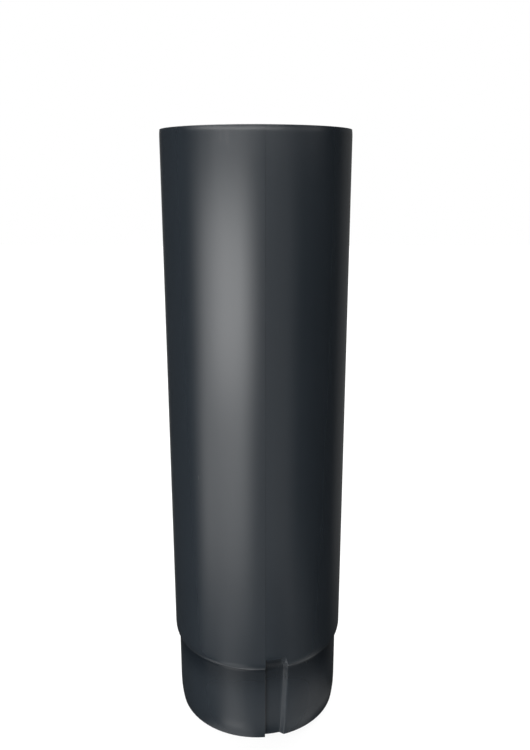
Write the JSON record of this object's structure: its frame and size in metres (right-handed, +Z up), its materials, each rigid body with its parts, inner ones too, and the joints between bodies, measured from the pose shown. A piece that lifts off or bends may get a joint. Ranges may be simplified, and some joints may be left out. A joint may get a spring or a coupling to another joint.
{
  "type": "downpipe",
  "caption": "Round downpipe of dark grey coated sheet steel with a lock seam inside, a rounded shoulder and a narrower spigot end with a pressed seam gutter.",
  "frame": {"origin": "middle of the spigot's open end, on the pipe's axis, at the foot it stands on", "axes": "+Z up along the pipe's axis to the plain open end; -Y faces the viewer of the picture, with the seam just right of it; +X to the viewer's right"},
  "size_m": [0.1, 0.1, 0.336],
  "materials": {
    "coated_steel": "satin"
  },
  "bodies": {
    "root": {"downpipe": "coated_steel"}
  },
  "joints": []
}
